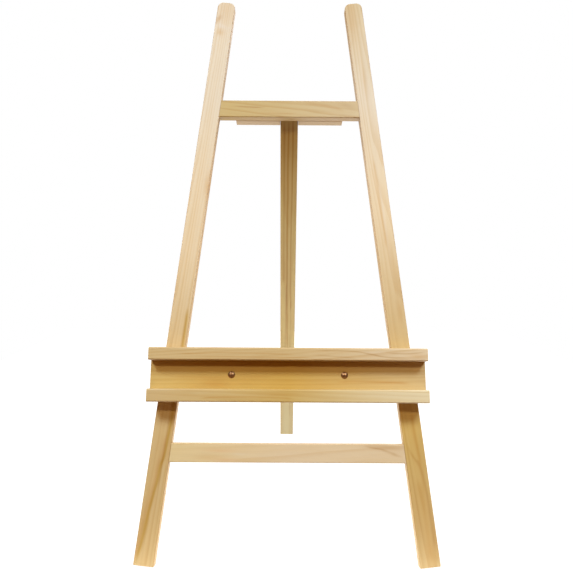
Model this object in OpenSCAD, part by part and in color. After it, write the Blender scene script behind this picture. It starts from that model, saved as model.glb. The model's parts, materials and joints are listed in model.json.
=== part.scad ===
// Wooden artist easel: a leaning A-frame of two pine legs and two crossbars, a rear leg that
// folds on a steel pin under the upper crossbar, and a canvas tray that two carriage bolts,
// stepped blocks and wing nuts clamp to the front legs at any height.
//
// Millimetres, +Z up. The front of the easel faces -Y and the rear leg stands towards +Y.
// The origin is on the floor, under the middle of the easel.
// Parts of the front frame are drawn flat and then leaned back by in_frame(): there x runs
// across, y runs up the frame, and z = 0 is the front face of the legs with +z to the front.

/* [Stance] */
// Lean of the front frame back from upright, degrees
lean_angle = 16; // [12:0.5:20]
// Lean of the rear leg forward from upright, degrees
rear_angle = 24.5; // [20:0.5:28]
// Distance between the front legs' centre lines at the feet
foot_spread = 620; // [560:5:680]
// Distance between the front legs' centre lines at their top ends
top_spread = 328; // [310:2:380]

/* [Timber] */
// Width of the legs
leg_w = 45; // [40:1:50]
// Thickness of the legs and crossbars
stock_t = 21; // [19:0.5:24]
// Radius of the eased long edges
ease_r = 2; // [1:0.5:3]

/* [Front frame] */
// Length of a front leg along its own centre line
leg_len = 1374; // [1340:2:1400]
// Corner radius of the rounded leg tops
leg_top_r = 15; // [8:1:20]
// Height of the upper crossbar's face
upper_bar_h = 45; // [38:1:46]
// Height of the upper crossbar's lower edge up the frame
upper_bar_y = 1045; // [1042:1:1080]
// Height of the lower crossbar's face
lower_bar_h = 41; // [38:1:46]
// Height of the lower crossbar's lower edge up the frame
lower_bar_y = 215; // [180:1:216]
// Diameter of the dowels in the crossbar ends
dowel_d = 8; // [6:1:10]
// Length of a crossbar dowel
dowel_len = 40; // [30:1:44]
// Distance between the two dowels of one joint
dowel_gap = 21; // [18:1:24]

/* [Rear leg] */
// Half of the distance across both pivot cheeks
cheek_reach = 135; // [120:1:145]
// Thickness of a pivot cheek
cheek_t = 23; // [23:0.5:26]
// Diameter of the steel pivot pin
pin_d = 8; // [6:0.5:8]
// Length of the pivot pin
pin_len = 104; // [90:1:110]
// Distance from the back of the upper crossbar to the pivot pin's centre
pin_setback = 12; // [12:0.5:13]
// Length of the rear leg above the pivot pin
rear_head = 18; // [16:1:22]

/* [Tray] */
// Length of the tray
tray_len = 623; // [600:1:650]
// Height of the tray's lower edge up the frame
tray_y = 348; // [340:1:400]
// Height of the tray from its lower to its upper edge
tray_h = 120; // [110:1:130]
// Thickness of the tray's back board
board_t = 14; // [12:0.5:20]
// Height of a tray rail's front face
rail_h = 28.5; // [24:0.5:32]
// Depth of a tray rail in front of the back board
rail_d = 30; // [27:1:34]
// Radius of the rounded front edges of the tray rails
rail_ease_r = 3.5; // [2:0.5:6]

/* [Tray clamp] */
// Distance between the two carriage bolts
bolt_spacing = 256; // [240:2:270]
// Thread diameter of the carriage bolts
bolt_d = 6; // [5:1:6]
// Length of a carriage bolt under its head
bolt_len = 75; // [74:1:84]
// Diameter of a carriage bolt's domed head
bolt_head_d = 16; // [14:0.5:18]
// Height of the clamp blocks
block_h = 45; // [36:1:48]
// Thickness of a clamp block behind the leg
block_t = 21; // [20:1:24]
// Distance from the easel's middle to the inner end of a clamp block
block_in = 100; // [60:1:104]
// Distance from the easel's middle to the outer end of a clamp block
block_out = 300; // [270:1:305]
// Length of the heel that bears on the tray's back board
heel_len = 16; // [12:1:18]

/* [Hidden] */
$fn = 48;

// Gap between faces that slide or swing past each other
slip = 0.3;
// Radial clearance of a shaft that turns in its hole, and of a fastener in its hole
fit_gap = 0.05;
// Overrun of a cutting shape past the face that it opens
over = 1;

// Front frame
leg_splay = asin((foot_spread - top_spread) / 2 / leg_len);
foot_tilt = sin(leg_splay) * cos(lean_angle);
foot_drop = (leg_w / 2 - ease_r) * foot_tilt + (stock_t - ease_r) * sin(lean_angle)
    + ease_r * norm([foot_tilt, sin(lean_angle)]);
// Room left past each end of a dowel in its holes
dowel_end_gap = 1;
dowel_depth = dowel_len + 2 * dowel_end_gap;
// Each crossbar as the height of its lower edge up the frame and the height of its face
upper_bar = [upper_bar_y, upper_bar_h];
lower_bar = [lower_bar_y, lower_bar_h];

// Pivot and rear leg
pin_y = upper_bar_y + upper_bar_h / 2;
pin_z = -stock_t - pin_setback;
pin_up = pin_y * cos(lean_angle) + pin_z * sin(lean_angle) + foot_drop;
pin_back = pin_y * sin(lean_angle) - pin_z * cos(lean_angle);
fold_angle = lean_angle + rear_angle;
rear_len = (pin_up - stock_t / 2 * sin(rear_angle)) / cos(rear_angle);
stop_r = pin_setback - slip;
cheek_gap = 0.6;
cheek_in = leg_w / 2 + cheek_gap;
// Places of a cheek's two screws, as shares of its length from the inner end
cheek_screw_at = [0.45, 0.82];
// Room left past each end of the pivot pin in its blind bores
pin_end_gap = 1;

// Middle of the footprint, from the inner front corners of the front feet to the rear foot
foot_skew = sin(leg_splay) * sin(lean_angle);
front_reach = (leg_w / 2 - ease_r) * foot_skew - ease_r * cos(lean_angle)
    + ease_r * norm([foot_skew, cos(lean_angle)]);
rear_reach = pin_back + rear_len * sin(rear_angle) + stock_t / 2 * cos(rear_angle);
origin_y = (rear_reach - front_reach) / 2;

// Tray and clamp
board_front = slip + board_t;
bolt_y = tray_y + tray_h / 2;
block_back = -stock_t - slip - block_t;
washer_t = 1.6;
washer_d = 18;
bolt_head_h = 3.6;
neck_len = 4;
nut_face = block_back - washer_t - slip;
nut_h = 8;
nut_base_d = 13;
nut_tip_d = 10;
wing_span = 33;
wing_rise = 17;
wing_t = 2.6;
wing_tip_r = 5;
// Slope of a wing's two long edges, and distance of its root from the ends of the hub
wing_slope = 50;
wing_inset = 1;
wing_turn = 20;

// Countersunk wood screws
screw_d = 4;
screw_head_d = 8;
screw_head_h = 2.4;
screw_len = 38;
rail_screw_x = [-255, -85, 85, 255];

// ---- helpers ----

// Distance from the easel's middle to a front leg's inner face, at height y up the frame
function inner_x(y) = foot_spread / 2 - y * tan(leg_splay) - leg_w / 2 / cos(leg_splay);

// Heights up the frame of the two dowels in an end of a crossbar
function dowel_ys(bar) = [for (k = [-1, 1]) bar[0] + bar[1] / 2 + k * dowel_gap / 2];

module in_frame() {
    translate([0, -origin_y, foot_drop])
        rotate([90 - lean_angle, 0, 0])
            children();
}

module at_pin() {
    translate([0, pin_back - origin_y, pin_up])
        rotate([90 + rear_angle, 0, 0])
            children();
}

// Rectangle with rounded corners, centred
module eased_rect(w, h, r) {
    square([w, h - 2 * r], center = true);
    square([w - 2 * r, h], center = true);
    for (x = [-1, 1], y = [-1, 1])
        translate([x * (w / 2 - r), y * (h / 2 - r)])
            circle(r);
}

// Bar of w by stock_t with eased long edges, running up y, its front face at z = 0
module eased_bar(w, len) {
    translate([0, 0, -stock_t / 2])
        rotate([-90, 0, 0])
            linear_extrude(len)
                eased_rect(w, stock_t, ease_r);
}

// ---- front frame ----

module leg_outline() {
    translate([-leg_w / 2, 0])
        square([leg_w, leg_len - leg_top_r]);
    translate([-leg_w / 2 + leg_top_r, 0])
        square([leg_w - 2 * leg_top_r, leg_len]);
    for (x = [-1, 1])
        translate([x * (leg_w / 2 - leg_top_r), leg_len - leg_top_r])
            circle(leg_top_r);
}

module dowel_rods(side, bar, d, len) {
    for (y = dowel_ys(bar))
        translate([side * inner_x(y), y, -stock_t / 2])
            rotate([0, 90, 0])
                cylinder(d = d, h = len, center = true);
}

module dowel_holes(side, bar) {
    dowel_rods(side, bar, dowel_d + 2 * fit_gap, dowel_depth);
}

module front_leg(side) {
    color("wheat")
        in_frame()
            difference() {
                translate([side * foot_spread / 2, 0, 0])
                    rotate([0, 0, side * leg_splay])
                        intersection() {
                            translate([0, 0, -stock_t])
                                linear_extrude(stock_t)
                                    leg_outline();
                            eased_bar(leg_w, leg_len);
                        }
                dowel_holes(side, upper_bar);
                dowel_holes(side, lower_bar);
            }
}

module front_leg_left() { front_leg(-1); }
module front_leg_right() { front_leg(1); }

module crossbar_body(bar) {
    low_y = bar[0];
    top_y = bar[0] + bar[1];
    low = inner_x(low_y);
    high = inner_x(top_y);
    intersection() {
        translate([0, 0, -stock_t])
            linear_extrude(stock_t)
                polygon([[-low, low_y], [low, low_y], [high, top_y], [-high, top_y]]);
        translate([-low, (low_y + top_y) / 2, 0])
            rotate([0, 0, -90])
                eased_bar(bar[1], 2 * low);
    }
}

module crossbar(bar) {
    color("burlywood")
        in_frame()
            difference() {
                crossbar_body(bar);
                for (side = [-1, 1])
                    dowel_holes(side, bar);
            }
}

module upper_crossbar() {
    color("burlywood")
        difference() {
            crossbar(upper_bar);
            in_frame()
                cheek_screw_shapes(fit_gap);
        }
}

module lower_crossbar() { crossbar(lower_bar); }

module crossbar_dowels(bar) {
    color("tan")
        in_frame()
            for (side = [-1, 1])
                dowel_rods(side, bar, dowel_d, dowel_len);
}

module upper_crossbar_dowels() { crossbar_dowels(upper_bar); }
module lower_crossbar_dowels() { crossbar_dowels(lower_bar); }

// Countersunk screw along -z, its flat head's face at z = 0; grow widens it into its own hole
module wood_screw(len, grow = 0) {
    translate([0, 0, -len])
        cylinder(d = screw_d + 2 * grow, h = len);
    translate([0, 0, -screw_head_h])
        cylinder(d1 = screw_d + 2 * grow, d2 = screw_head_d + 2 * grow, h = screw_head_h);
}

// ---- pivot of the rear leg ----

module cheek_screw_shapes(grow = 0) {
    for (side = [-1, 1], k = cheek_screw_at)
        translate([side * (cheek_in + k * (cheek_reach - cheek_in)), pin_y, -stock_t - cheek_t])
            rotate([180, 0, 0])
                wood_screw(screw_len, grow);
}

module pin_rod(d, len) {
    rotate([0, 90, 0])
        cylinder(d = d, h = len, center = true);
}

module pivot_cheek(side) {
    color("burlywood")
        in_frame()
            difference() {
                translate([side * (cheek_in + cheek_reach) / 2, pin_y, -stock_t - cheek_t / 2])
                    cube([cheek_reach - cheek_in, upper_bar_h, cheek_t], center = true);
                translate([0, pin_y, pin_z])
                    pin_rod(pin_d + 2 * fit_gap, pin_len + 2 * pin_end_gap);
                cheek_screw_shapes(fit_gap);
            }
}

module pivot_cheek_left() { pivot_cheek(-1); }
module pivot_cheek_right() { pivot_cheek(1); }

module cheek_screws() {
    color("silver")
        in_frame()
            cheek_screw_shapes();
}

// Side view of the rear leg about its pin: across is the leg's thickness, up is its length.
// The head is rounded about the pin and runs into the flat that stops on the crossbar.
module rear_side_view() {
    translate([-stock_t / 2, -rear_len])
        square([stock_t, rear_len]);
    intersection() {
        translate([-stock_t / 2, 0])
            square([stock_t, rear_head]);
        union() {
            circle(stop_r);
            rotate([0, 0, fold_angle])
                translate([stop_r - 2 * stock_t, 0])
                    square([2 * stock_t, 2 * stock_t]);
        }
    }
}

module rear_leg() {
    color("tan")
        at_pin()
            difference() {
                intersection() {
                    translate([-leg_w / 2, 0, 0])
                        rotate([0, -90, 0])
                            mirror([0, 0, 1])
                                linear_extrude(leg_w)
                                    rear_side_view();
                    translate([0, -rear_len, stock_t / 2])
                        eased_bar(leg_w, rear_len + rear_head);
                }
                pin_rod(pin_d + 2 * fit_gap, leg_w + 2 * over);
            }
}

module pivot_pin() {
    color("silver")
        at_pin()
            pin_rod(pin_d, pin_len);
}

// ---- tray ----

module rail_screw_shapes(rail_y, grow = 0) {
    for (x = rail_screw_x)
        translate([x, rail_y + rail_h / 2, slip])
            rotate([180, 0, 0])
                wood_screw(screw_len, grow);
}

module all_rail_screws(grow = 0) {
    rail_screw_shapes(tray_y, grow);
    rail_screw_shapes(tray_y + tray_h - rail_h, grow);
}

module bolt_shapes(side, grow = 0) {
    translate([side * bolt_spacing / 2, bolt_y, board_front]) {
        translate([0, 0, -bolt_len])
            cylinder(d = bolt_d + 2 * grow, h = bolt_len);
        translate([0, 0, -neck_len / 2])
            cube([bolt_d + 2 * grow, bolt_d + 2 * grow, neck_len + 2 * grow], center = true);
    }
}

module tray_back_board() {
    color("goldenrod")
        in_frame()
            difference() {
                translate([0, tray_y + tray_h / 2, slip + board_t / 2])
                    cube([tray_len, tray_h, board_t], center = true);
                for (side = [-1, 1])
                    bolt_shapes(side, fit_gap);
                all_rail_screws(fit_gap);
            }
}

// Section of a tray rail: flat against the board, rounded at its two front edges
module rail_section() {
    square([rail_d - rail_ease_r, rail_h]);
    translate([0, rail_ease_r])
        square([rail_d, rail_h - 2 * rail_ease_r]);
    for (y = [rail_ease_r, rail_h - rail_ease_r])
        translate([rail_d - rail_ease_r, y])
            circle(rail_ease_r);
}

module tray_rail(rail_y) {
    color("burlywood")
        in_frame()
            difference() {
                translate([tray_len / 2, rail_y, board_front])
                    rotate([0, -90, 0])
                        linear_extrude(tray_len)
                            rail_section();
                rail_screw_shapes(rail_y, fit_gap);
            }
}

module tray_upper_rail() { tray_rail(tray_y + tray_h - rail_h); }
module tray_lower_rail() { tray_rail(tray_y); }

module tray_rail_screws() {
    color("silver")
        in_frame()
            all_rail_screws();
}

// ---- tray clamp ----

module carriage_bolt(side) {
    dome_r = (bolt_head_d * bolt_head_d / 4 + bolt_head_h * bolt_head_h) / 2 / bolt_head_h;
    color("peru")
        in_frame() {
            bolt_shapes(side);
            translate([side * bolt_spacing / 2, bolt_y, board_front])
                intersection() {
                    cylinder(d = bolt_head_d, h = bolt_head_h);
                    translate([0, 0, bolt_head_h - dome_r])
                        sphere(dome_r);
                }
        }
}

module carriage_bolt_left() { carriage_bolt(-1); }
module carriage_bolt_right() { carriage_bolt(1); }

// Plan of a clamp block, seen from above: a flat bar with a heel that fills the gap between
// the legs, so that it presses on the leg at one end and on the back board at the other
module block_plan() {
    translate([block_in, block_back])
        square([block_out - block_in, block_t]);
    translate([block_in, block_back])
        square([heel_len, slip - block_back]);
}

module clamp_block(side) {
    color("burlywood")
        in_frame()
            difference() {
                mirror([side < 0 ? 1 : 0, 0, 0])
                    translate([0, bolt_y + block_h / 2, 0])
                        rotate([90, 0, 0])
                            linear_extrude(block_h)
                                block_plan();
                bolt_shapes(side, fit_gap);
            }
}

module clamp_block_left() { clamp_block(-1); }
module clamp_block_right() { clamp_block(1); }

module clamp_washer(side) {
    color("silver")
        in_frame()
            translate([side * bolt_spacing / 2, bolt_y, block_back - washer_t])
                difference() {
                    cylinder(d = washer_d, h = washer_t);
                    translate([0, 0, -over])
                        cylinder(d = bolt_d + 2 * fit_gap, h = washer_t + 2 * over);
                }
}

module clamp_washer_left() { clamp_washer(-1); }
module clamp_washer_right() { clamp_washer(1); }

// One wing in side view: from the hub outwards, with a round tip
module wing_outline() {
    tip_x = wing_span / 2 - wing_tip_r;
    tip_y = wing_rise - wing_tip_r;
    edge_x = wing_tip_r * sin(wing_slope);
    edge_y = wing_tip_r * cos(wing_slope);
    translate([tip_x, tip_y])
        circle(wing_tip_r);
    polygon([
        [0, wing_inset], [nut_base_d / 2 - wing_inset, wing_inset],
        [tip_x + edge_x, tip_y - edge_y], [tip_x - edge_x, tip_y + edge_y],
        [nut_tip_d / 2, nut_h - wing_inset], [0, nut_h - wing_inset]
    ]);
}

module wing_nut(side) {
    color("silver")
        in_frame()
            translate([side * bolt_spacing / 2, bolt_y, nut_face])
                rotate([180, 0, side * wing_turn])
                    difference() {
                        union() {
                            cylinder(d1 = nut_base_d, d2 = nut_tip_d, h = nut_h);
                            for (m = [0, 1])
                                mirror([m, 0, 0])
                                    translate([0, wing_t / 2, 0])
                                        rotate([90, 0, 0])
                                            linear_extrude(wing_t)
                                                wing_outline();
                        }
                        translate([0, 0, -over])
                            cylinder(d = bolt_d + 2 * fit_gap, h = wing_rise + 2 * over);
                    }
}

module wing_nut_left() { wing_nut(-1); }
module wing_nut_right() { wing_nut(1); }

front_leg_left();
front_leg_right();
upper_crossbar();
lower_crossbar();
upper_crossbar_dowels();
lower_crossbar_dowels();
pivot_cheek_left();
pivot_cheek_right();
cheek_screws();
rear_leg();
pivot_pin();
tray_back_board();
tray_upper_rail();
tray_lower_rail();
tray_rail_screws();
carriage_bolt_left();
carriage_bolt_right();
clamp_block_left();
clamp_block_right();
clamp_washer_left();
clamp_washer_right();
wing_nut_left();
wing_nut_right();
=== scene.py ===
"""Wooden artist easel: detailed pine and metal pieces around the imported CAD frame.

Metres, +Z up, in the CAD model's own frame. The front frame leans back; on_frame() gives a
point by x across, y up the frame and z out of the front face of its legs. Each wooden piece is
made in timber coordinates, x along the grain, y across the face and z out of the face, and its
material reads the same coordinates, so grain runs through the solid and ends as end grain.
"""

import json
from math import asin, atan2, cos, degrees, pi, radians, sin, sqrt, tan

import bmesh
import bpy
from mathutils import Matrix, Vector


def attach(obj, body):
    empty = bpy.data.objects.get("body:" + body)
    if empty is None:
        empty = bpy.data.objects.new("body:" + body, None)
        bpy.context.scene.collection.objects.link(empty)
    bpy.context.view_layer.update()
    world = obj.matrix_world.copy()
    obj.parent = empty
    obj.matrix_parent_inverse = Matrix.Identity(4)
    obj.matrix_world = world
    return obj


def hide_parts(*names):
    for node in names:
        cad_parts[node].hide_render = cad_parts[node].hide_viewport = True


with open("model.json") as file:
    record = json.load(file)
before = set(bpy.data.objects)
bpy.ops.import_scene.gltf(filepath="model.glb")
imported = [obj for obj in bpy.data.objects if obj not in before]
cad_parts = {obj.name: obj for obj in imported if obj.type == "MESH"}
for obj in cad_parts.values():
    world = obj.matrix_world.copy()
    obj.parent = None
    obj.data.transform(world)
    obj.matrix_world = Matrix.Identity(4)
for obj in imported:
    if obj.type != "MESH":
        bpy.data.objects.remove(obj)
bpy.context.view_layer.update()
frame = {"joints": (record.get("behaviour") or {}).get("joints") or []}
scene = bpy.context.scene
joints = {joint["name"]: joint for joint in frame["joints"]}
SIDES = {"left": -1, "right": 1}

# ---- driving dimensions, as in the CAD model ----
FOOT_SPREAD = 0.620
TOP_SPREAD = 0.328
LEG_W = 0.045
STOCK_T = 0.021
EASE_R = 0.002
LEG_LEN = 1.374
LEG_TOP_R = 0.015
UPPER_BAR_H = 0.045
UPPER_BAR_Y = 1.045
LOWER_BAR_H = 0.041
LOWER_BAR_Y = 0.215
DOWEL_D = 0.008
DOWEL_LEN = 0.040
DOWEL_GAP = 0.021
CHEEK_REACH = 0.135
CHEEK_T = 0.023
CHEEK_GAP = 0.0006
CHEEK_SCREW_AT = (0.45, 0.82)
PIN_D = 0.008
PIN_LEN = 0.104
PIN_SETBACK = 0.012
REAR_HEAD = 0.018
SLIP = 0.0003
TRAY_LEN = 0.623
TRAY_Y = 0.348
TRAY_H = 0.120
BOARD_T = 0.014
RAIL_H = 0.0285
RAIL_D = 0.030
RAIL_EASE_R = 0.0035
RAIL_SCREW_X = (-0.255, -0.085, 0.085, 0.255)
BOLT_SPACING = 0.256
BOLT_D = 0.006
BOLT_LEN = 0.075
BOLT_HEAD_D = 0.016
BOLT_HEAD_H = 0.0036
NECK_LEN = 0.004
BLOCK_H = 0.045
BLOCK_T = 0.021
BLOCK_IN = 0.100
BLOCK_OUT = 0.300
HEEL_LEN = 0.016
WASHER_D = 0.018
WASHER_T = 0.0016
NUT_H = 0.008
NUT_BASE_D = 0.013
NUT_TIP_D = 0.010
WING_SPAN = 0.033
WING_RISE = 0.017
WING_T = 0.0026
WING_TIP_R = 0.005
WING_SLOPE = 50
WING_TURN = radians(20)
SCREW_D = 0.004
SCREW_HEAD_D = 0.008
SCREW_HEAD_H = 0.0024
SCREW_LEN = 0.038
FIT_GAP = 0.00005
# Overrun of a cutting shape past the face that it opens
OVER = 0.001
# Two coordinates that differ by less than this are the same
TINY = 1e-6
# Radius of an edge that was only broken with sandpaper, and of the other small roundings
ARRIS = 0.0005
RAIL_ARRIS = 0.0006
BOARD_EASE = 0.0008
BLOCK_EASE = 0.0012
CHEEK_EASE = 0.0018
PIN_EASE = 0.0008
# Wood screws: their point, and the cross recess in their heads
SCREW_POINT_LEN = 0.007
SCREW_RIM = 0.0003
RECESS_HALF_LEN = 0.0022
RECESS_HALF_W = 0.00045
RECESS_DEPTH = 0.0016
# Angle of the first screw's recess, and the turn from one screw to the next
FIRST_TURN = 0.4
NEXT_TURN = 1.3
# Fluted dowels
FLUTES = 16
FLUTE_DEPTH = 0.04
DOWEL_CHAMFER = 0.001
# A bolt's tip, screw thread and head
BOLT_TIP = 0.001
BOLT_TIP_IN = 0.0009
THREAD_PITCH = 0.001
THREAD_DEPTH = 0.0006
THREAD_LEN = 0.025
THREAD_ROWS = 199
BOLT_RIM = 0.0003
BOLT_RIM_IN = 0.0004
DOME_SHARE = 0.997
DOME_STEPS = 11
NECK_ROOT = 0.0004
# A washer's rounding, and a wing nut's
WASHER_EASE = 0.0003
HUB_EASE = 0.0007
HUB_FLARE = 0.0002
WING_EASE = 0.0009
WING_ROOT = 0.001

# ---- the frame's own directions and places ----
ACROSS = Vector((1, 0, 0))
UP = Vector(joints["tray_slide"]["axis"]).normalized()
FRONT = ACROSS.cross(UP)
PIVOT = Vector(joints["rear_leg_fold"]["pos_m"])
UPPER_BAR = (UPPER_BAR_Y, UPPER_BAR_H)
LOWER_BAR = (LOWER_BAR_Y, LOWER_BAR_H)
PIN_Y = UPPER_BAR_Y + UPPER_BAR_H / 2
FRAME_ZERO = PIVOT - UP * PIN_Y + FRONT * (STOCK_T + PIN_SETBACK)
SPLAY = asin((FOOT_SPREAD - TOP_SPREAD) / 2 / LEG_LEN)
BOLT_Y = TRAY_Y + TRAY_H / 2
BLOCK_BACK = -STOCK_T - SLIP - BLOCK_T
BOARD_FRONT = SLIP + BOARD_T
NUT_FACE = BLOCK_BACK - WASHER_T - SLIP


def on_frame(x, y, z=0.0):
    """A point of the front frame in the row frame."""
    return FRAME_ZERO + ACROSS * x + UP * y + FRONT * z


def inner_x(y):
    """Distance from the easel's middle to a front leg's inner face, at height y up the frame."""
    return FOOT_SPREAD / 2 - y * tan(SPLAY) - LEG_W / 2 / cos(SPLAY)


def axes(origin, along, facing):
    """Matrix of a piece's own axes: x along, z facing, y across."""
    x = along.normalized()
    z = facing.normalized()
    y = z.cross(x)
    turn = Matrix((x, y, z)).transposed().to_4x4()
    return Matrix.Translation(origin) @ turn


# ---- mesh helpers ----
# Least angle of an edge that is rounded, greatest angle that is shaded smooth, and how much more
# a large face counts than a small one in the shading
SHARP_ANGLE = radians(40)
SMOOTH_ANGLE = radians(32)
FLAT_WEIGHT = 80


def arc(centre, radius, start, end, steps=10):
    """Points of an arc in a plane, angles in degrees."""
    angles = [radians(start + (end - start) * k / steps) for k in range(steps + 1)]
    return [(centre[0] + radius * cos(a), centre[1] + radius * sin(a)) for a in angles]


def prism(outline, low, high, side_view=False):
    """Solid between two levels of z whose outline is in x and y, or seen from the side, in x and z."""
    bm = bmesh.new()
    rings = []
    for level in (low, high):
        points = [(a, -level, b) if side_view else (a, b, level) for a, b in outline]
        rings.append([bm.verts.new(p) for p in points])
    bm.faces.new(list(reversed(rings[0])))
    bm.faces.new(rings[1])
    for k in range(len(outline)):
        nxt = (k + 1) % len(outline)
        bm.faces.new((rings[0][k], rings[0][nxt], rings[1][nxt], rings[1][k]))
    bmesh.ops.recalc_face_normals(bm, faces=bm.faces)
    return bm


def rect(x0, x1, y0, y1):
    """Corners of a rectangle, in turn."""
    return [(x0, y0), (x1, y0), (x1, y1), (x0, y1)]


def ease(bm, chosen, radius, steps=4):
    """Rounds the sharp outward edges that chosen() picks by their two ends."""
    edges = []
    for edge in bm.edges:
        sharp = edge.calc_face_angle_signed(0) > SHARP_ANGLE
        if sharp and chosen(edge.verts[0].co, edge.verts[1].co):
            edges.append(edge)
    bmesh.ops.bevel(
        bm, geom=edges, offset=radius, offset_type="OFFSET", segments=steps, profile=0.5,
        affect="EDGES", clamp_overlap=True,
    )
    return bm


def lengthwise(a, b):
    """True for an edge that runs along the grain."""
    return abs(a.x - b.x) > 20 * max(abs(a.y - b.y), abs(a.z - b.z), TINY)


def any_edge(a, b):
    """True for every edge, whatever its ends."""
    return True


def lathe(profile, steps, radius_at=None):
    """Closed solid of revolution about z. profile is (radius, z) pairs that start and end at radius 0.
    radius_at(radius, angle, z) may change the radius round the turn."""
    bm = bmesh.new()
    rings = []
    for radius, z in profile:
        if radius == 0:
            rings.append([bm.verts.new((0, 0, z))])
            continue
        ring = []
        for k in range(steps):
            a = 2 * pi * k / steps
            r = radius_at(radius, a, z) if radius_at else radius
            ring.append(bm.verts.new((r * cos(a), r * sin(a), z)))
        rings.append(ring)
    for low, high in zip(rings, rings[1:]):
        for k in range(steps):
            n = (k + 1) % steps
            corners = [low[k % len(low)], low[n % len(low)], high[n % len(high)], high[k % len(high)]]
            bm.faces.new(list(dict.fromkeys(corners)))
    bmesh.ops.recalc_face_normals(bm, faces=bm.faces)
    return bm


def rod(radius, length, bevel=0.0, steps=32):
    """Cylinder along z from 0 to length, its ends bevelled."""
    if bevel:
        profile = [(0, 0), (radius - bevel, 0), (radius, bevel), (radius, length - bevel),
                   (radius - bevel, length), (0, length)]
    else:
        profile = [(0, 0), (radius, 0), (radius, length), (0, length)]
    return lathe(profile, steps)


def placed(bm, place):
    """The solid moved by a matrix."""
    bmesh.ops.transform(bm, matrix=place, verts=bm.verts)
    return bm


def merged(solids):
    """Several separate solids as one bmesh."""
    total = bmesh.new()
    for bm in solids:
        mesh = bpy.data.meshes.new("part")
        bm.to_mesh(mesh)
        bm.free()
        total.from_mesh(mesh)
        bpy.data.meshes.remove(mesh)
    return total


def new_object(name, bm):
    """An object in the scene with a solid as its mesh."""
    mesh = bpy.data.meshes.new(name)
    bm.to_mesh(mesh)
    bm.free()
    piece = bpy.data.objects.new(name, mesh)
    scene.collection.objects.link(piece)
    return piece


def combine(piece, bm, operation):
    """Cuts a solid out of a piece, or joins it on, and keeps the result as the piece's mesh."""
    tool = new_object("tool", bm)
    modifier = piece.modifiers.new("combine", "BOOLEAN")
    modifier.operation = operation
    modifier.solver = "EXACT"
    modifier.use_self = True
    modifier.object = tool
    bpy.context.view_layer.update()
    result = bpy.data.meshes.new_from_object(
        piece.evaluated_get(bpy.context.evaluated_depsgraph_get()))
    piece.modifiers.remove(modifier)
    old = piece.data
    piece.data = result
    bpy.data.meshes.remove(old)
    bpy.data.objects.remove(tool)


def assembled(body, tools, operation):
    """A solid after the others are cut out of it or joined on."""
    piece = new_object("work", body)
    for tool in tools:
        combine(piece, tool, operation)
    bm = bmesh.new()
    bm.from_mesh(piece.data)
    bpy.data.objects.remove(piece)
    return bm


def add_piece(name, bm, body, node, material, cut=None):
    """Makes a piece from a solid in the row frame, with cut taken out of it, ties it to its body and hides
    the CAD part that it replaces.
    """
    piece = new_object(name, bm)
    if cut is not None:
        combine(piece, cut, "DIFFERENCE")
    mesh = piece.data
    mesh.materials.clear()
    mesh.materials.append(material)
    mesh.polygons.foreach_set("material_index", [0] * len(mesh.polygons))
    mesh.polygons.foreach_set("use_smooth", [True] * len(mesh.polygons))
    mesh.set_sharp_from_angle(angle=SMOOTH_ANGLE)
    weighted = piece.modifiers.new("flat faces", "WEIGHTED_NORMAL")
    weighted.keep_sharp = True
    weighted.weight = FLAT_WEIGHT
    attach(piece, body)
    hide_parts(node)
    return piece


# ---- node helpers ----
# Room below and above a curve's outputs
CURVE_MARGIN = 0.001


class Number:
    """A number at a node's output, with arithmetic that adds Math nodes."""

    def __init__(self, net, socket):
        self.net = net
        self.socket = socket

    def __add__(self, other):
        return self.net.math("ADD", self, other)

    def __radd__(self, other):
        return self.net.math("ADD", other, self)

    def __sub__(self, other):
        return self.net.math("SUBTRACT", self, other)

    def __rsub__(self, other):
        return self.net.math("SUBTRACT", other, self)

    def __mul__(self, other):
        return self.net.math("MULTIPLY", self, other)

    def __rmul__(self, other):
        return self.net.math("MULTIPLY", other, self)

    def __truediv__(self, other):
        return self.net.math("DIVIDE", self, other)


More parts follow.
